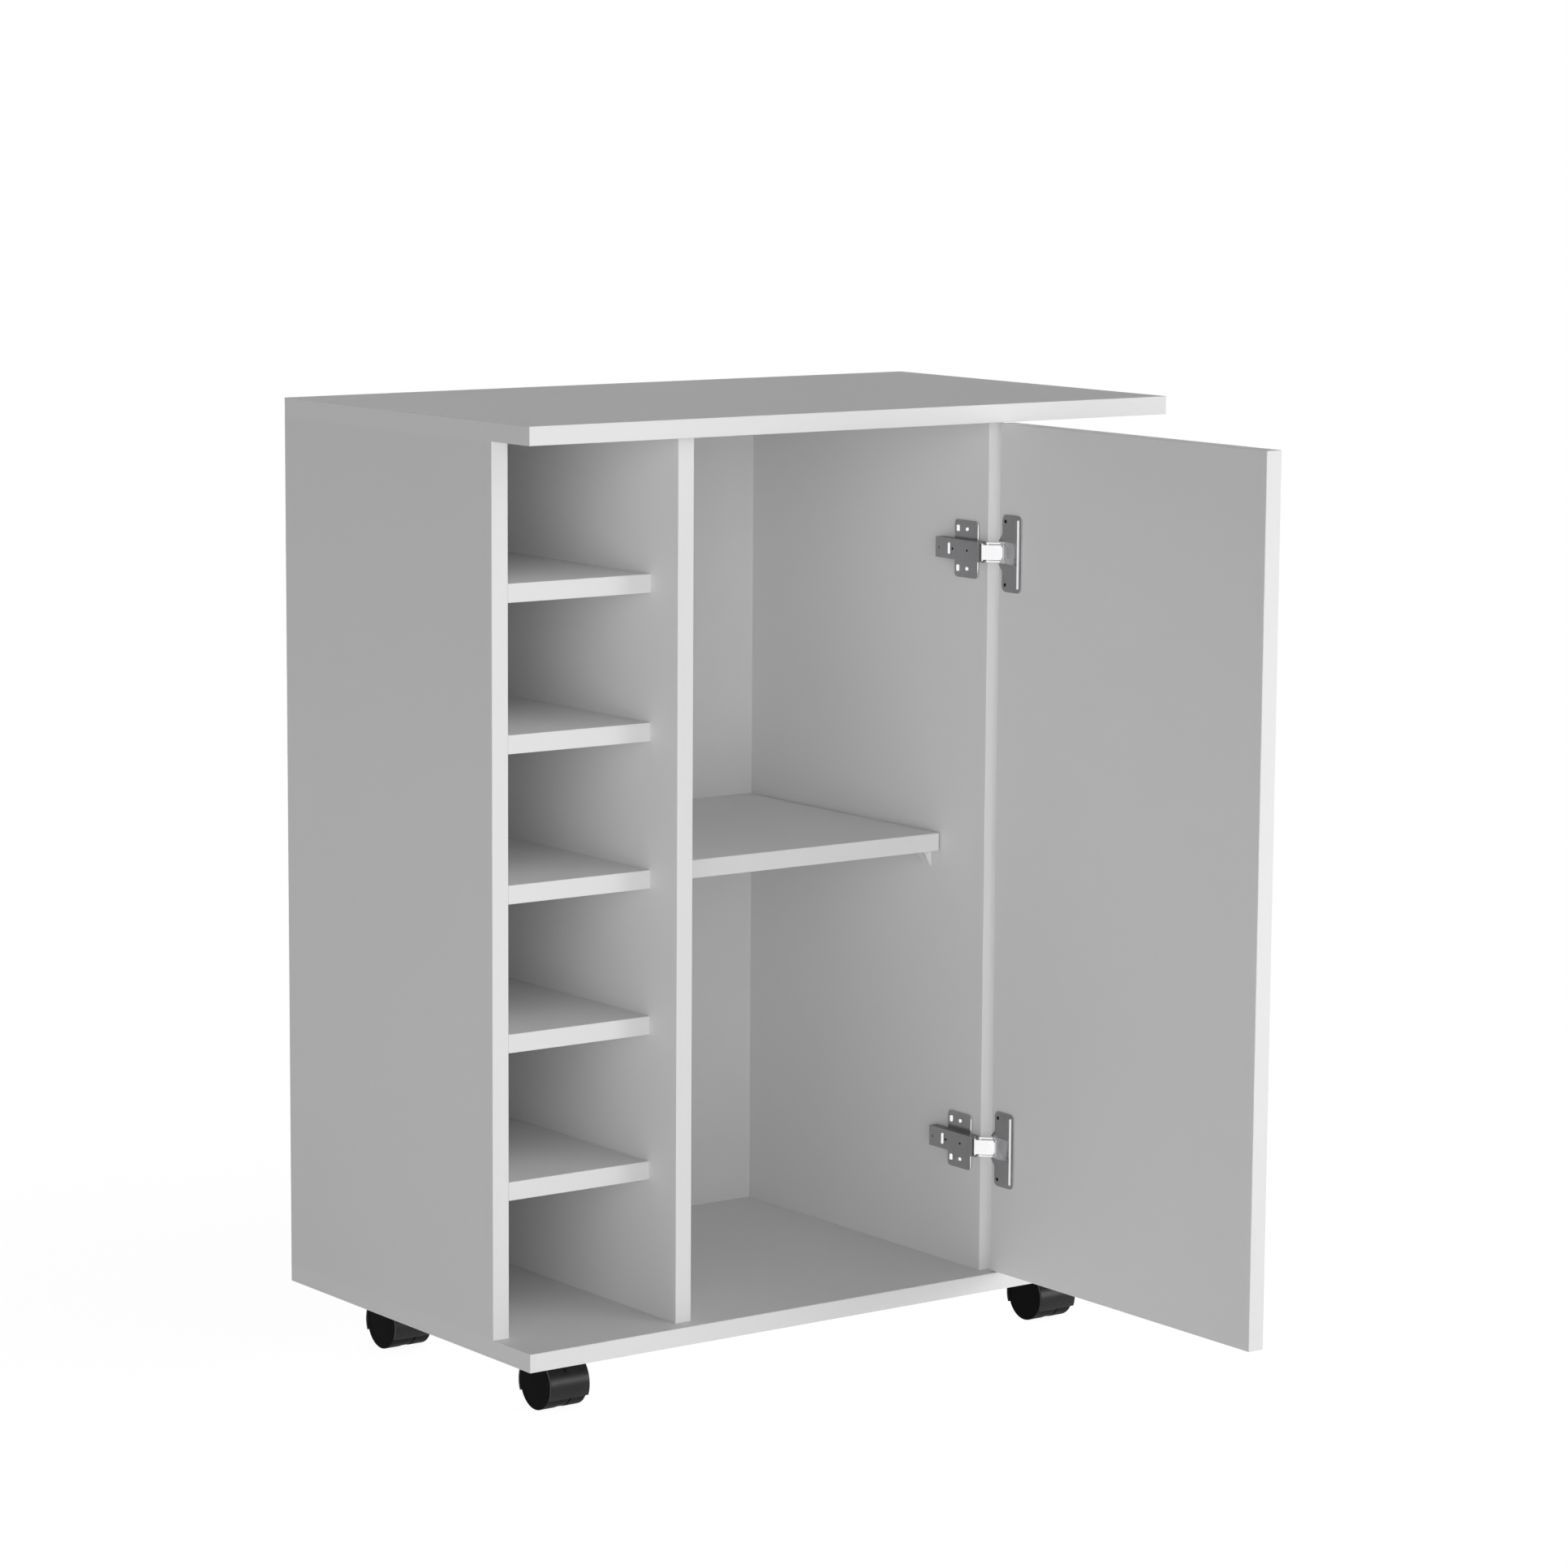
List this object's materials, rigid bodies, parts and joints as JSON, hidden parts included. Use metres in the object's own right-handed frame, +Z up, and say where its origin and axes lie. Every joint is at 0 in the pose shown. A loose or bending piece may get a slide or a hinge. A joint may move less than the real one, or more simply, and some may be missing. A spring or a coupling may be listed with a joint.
{
  "type": "coffee bar cabinet",
  "caption": "White bar cabinet on hooded casters, with bottle cubbies on one side, a shelved compartment behind a concealed-hinge door and an open end bay.",
  "frame": {"origin": "on the floor, under the middle of the box that holds the cabinet with its door open", "axes": "+Z up; +X from the bottle cubbies to the end bay; +Y from the front to the back"},
  "size_m": [0.635, 0.682, 0.7885],
  "materials": {
    "white_board": "matte white melamine-faced board",
    "back_board": "matte white thin board",
    "peg_plastic": "moulded white plastic",
    "hinge_steel": "nickel-plated pressed steel",
    "link_chrome": "bright plated steel",
    "caster_plastic": "moulded black plastic with a soft sheen",
    "wheel_plastic": "moulded black plastic",
    "caster_steel": "zinc-plated steel"
  },
  "bodies": {
    "cabinet": {"top_panel": "white_board", "bottom_panel": "white_board", "left_side_panel": "white_board", "divider_panel": "white_board", "right_side_panel": "white_board", "back_panel": "back_board", "rack_shelf_1": "white_board", "rack_shelf_2": "white_board", "rack_shelf_3": "white_board", "rack_shelf_4": "white_board", "rack_shelf_5": "white_board", "middle_shelf": "white_board", "shelf_peg_front_left": "peg_plastic", "shelf_peg_front_right": "peg_plastic", "shelf_peg_rear_left": "peg_plastic", "shelf_peg_rear_right": "peg_plastic", "end_bay_upright": "white_board", "end_bay_shelf": "white_board", "upper_hinge_plate": "hinge_steel", "upper_hinge_arm": "hinge_steel", "lower_hinge_plate": "hinge_steel", "lower_hinge_arm": "hinge_steel", "caster_front_left_plate": "caster_steel", "caster_front_left_kingpin": "caster_steel", "caster_front_right_plate": "caster_steel", "caster_front_right_kingpin": "caster_steel", "caster_rear_left_plate": "caster_steel", "caster_rear_left_kingpin": "caster_steel", "caster_rear_right_plate": "caster_steel", "caster_rear_right_kingpin": "caster_steel"},
    "hinge_links": {"upper_hinge_link": "link_chrome", "lower_hinge_link": "link_chrome"},
    "door": {"door_panel": "white_board", "upper_hinge_cup": "hinge_steel", "lower_hinge_cup": "hinge_steel"},
    "caster_front_left_swivel": {"caster_front_left_fork": "caster_plastic", "caster_front_left_axle": "caster_steel"},
    "caster_front_left_left_wheel": {"caster_front_left_left_wheel": "wheel_plastic"},
    "caster_front_left_right_wheel": {"caster_front_left_right_wheel": "wheel_plastic"},
    "caster_front_right_swivel": {"caster_front_right_fork": "caster_plastic", "caster_front_right_axle": "caster_steel"},
    "caster_front_right_left_wheel": {"caster_front_right_left_wheel": "wheel_plastic"},
    "caster_front_right_right_wheel": {"caster_front_right_right_wheel": "wheel_plastic"},
    "caster_rear_left_swivel": {"caster_rear_left_fork": "caster_plastic", "caster_rear_left_axle": "caster_steel"},
    "caster_rear_left_left_wheel": {"caster_rear_left_left_wheel": "wheel_plastic"},
    "caster_rear_left_right_wheel": {"caster_rear_left_right_wheel": "wheel_plastic"},
    "caster_rear_right_swivel": {"caster_rear_right_fork": "caster_plastic", "caster_rear_right_axle": "caster_steel"},
    "caster_rear_right_left_wheel": {"caster_rear_right_left_wheel": "wheel_plastic"},
    "caster_rear_right_right_wheel": {"caster_rear_right_right_wheel": "wheel_plastic"}
  },
  "joints": [
    {"name": "hinge_link_swing", "type": "hinge", "parent": "cabinet", "child": "hinge_links", "pos_m": [0.134, -0.00873, 0.4185], "axis": [0, 0, 1], "range_deg": [-2.4, 42]},
    {"name": "door_swing", "type": "hinge", "parent": "hinge_links", "child": "door", "pos_m": [0.1465, -0.021, 0.4185], "axis": [0, 0, 1], "range_deg": [-131.94, 7.33]},
    {"name": "caster_front_left_swivel_turn", "type": "hinge", "parent": "cabinet", "child": "caster_front_left_swivel", "pos_m": [-0.2575, 0.0435, 0.0207], "axis": [0, 0, 1], "continuous": true},
    {"name": "caster_front_left_left_wheel_spin", "type": "hinge", "parent": "caster_front_left_swivel", "child": "caster_front_left_left_wheel", "pos_m": [-0.2575, 0.0345, 0.0207], "axis": [1, 0, 0], "continuous": true},
    {"name": "caster_front_left_right_wheel_spin", "type": "hinge", "parent": "caster_front_left_swivel", "child": "caster_front_left_right_wheel", "pos_m": [-0.2575, 0.0345, 0.0207], "axis": [1, 0, 0], "continuous": true},
    {"name": "caster_front_right_swivel_turn", "type": "hinge", "parent": "cabinet", "child": "caster_front_right_swivel", "pos_m": [0.2425, 0.0435, 0.0207], "axis": [0, 0, 1], "continuous": true},
    {"name": "caster_front_right_left_wheel_spin", "type": "hinge", "parent": "caster_front_right_swivel", "child": "caster_front_right_left_wheel", "pos_m": [0.2425, 0.0345, 0.0207], "axis": [1, 0, 0], "continuous": true},
    {"name": "caster_front_right_right_wheel_spin", "type": "hinge", "parent": "caster_front_right_swivel", "child": "caster_front_right_right_wheel", "pos_m": [0.2425, 0.0345, 0.0207], "axis": [1, 0, 0], "continuous": true},
    {"name": "caster_rear_left_swivel_turn", "type": "hinge", "parent": "cabinet", "child": "caster_rear_left_swivel", "pos_m": [-0.2575, 0.2755, 0.0207], "axis": [0, 0, 1], "continuous": true},
    {"name": "caster_rear_left_left_wheel_spin", "type": "hinge", "parent": "caster_rear_left_swivel", "child": "caster_rear_left_left_wheel", "pos_m": [-0.2575, 0.2665, 0.0207], "axis": [1, 0, 0], "continuous": true},
    {"name": "caster_rear_left_right_wheel_spin", "type": "hinge", "parent": "caster_rear_left_swivel", "child": "caster_rear_left_right_wheel", "pos_m": [-0.2575, 0.2665, 0.0207], "axis": [1, 0, 0], "continuous": true},
    {"name": "caster_rear_right_swivel_turn", "type": "hinge", "parent": "cabinet", "child": "caster_rear_right_swivel", "pos_m": [0.2425, 0.2755, 0.0207], "axis": [0, 0, 1], "continuous": true},
    {"name": "caster_rear_right_left_wheel_spin", "type": "hinge", "parent": "caster_rear_right_swivel", "child": "caster_rear_right_left_wheel", "pos_m": [0.2425, 0.2665, 0.0207], "axis": [1, 0, 0], "continuous": true},
    {"name": "caster_rear_right_right_wheel_spin", "type": "hinge", "parent": "caster_rear_right_swivel", "child": "caster_rear_right_right_wheel", "pos_m": [0.2425, 0.2665, 0.0207], "axis": [1, 0, 0], "continuous": true}
  ],
  "couplings": [
    {"joint": "hinge_link_swing", "follows": "door_swing", "ratio": -0.31791}
  ]
}
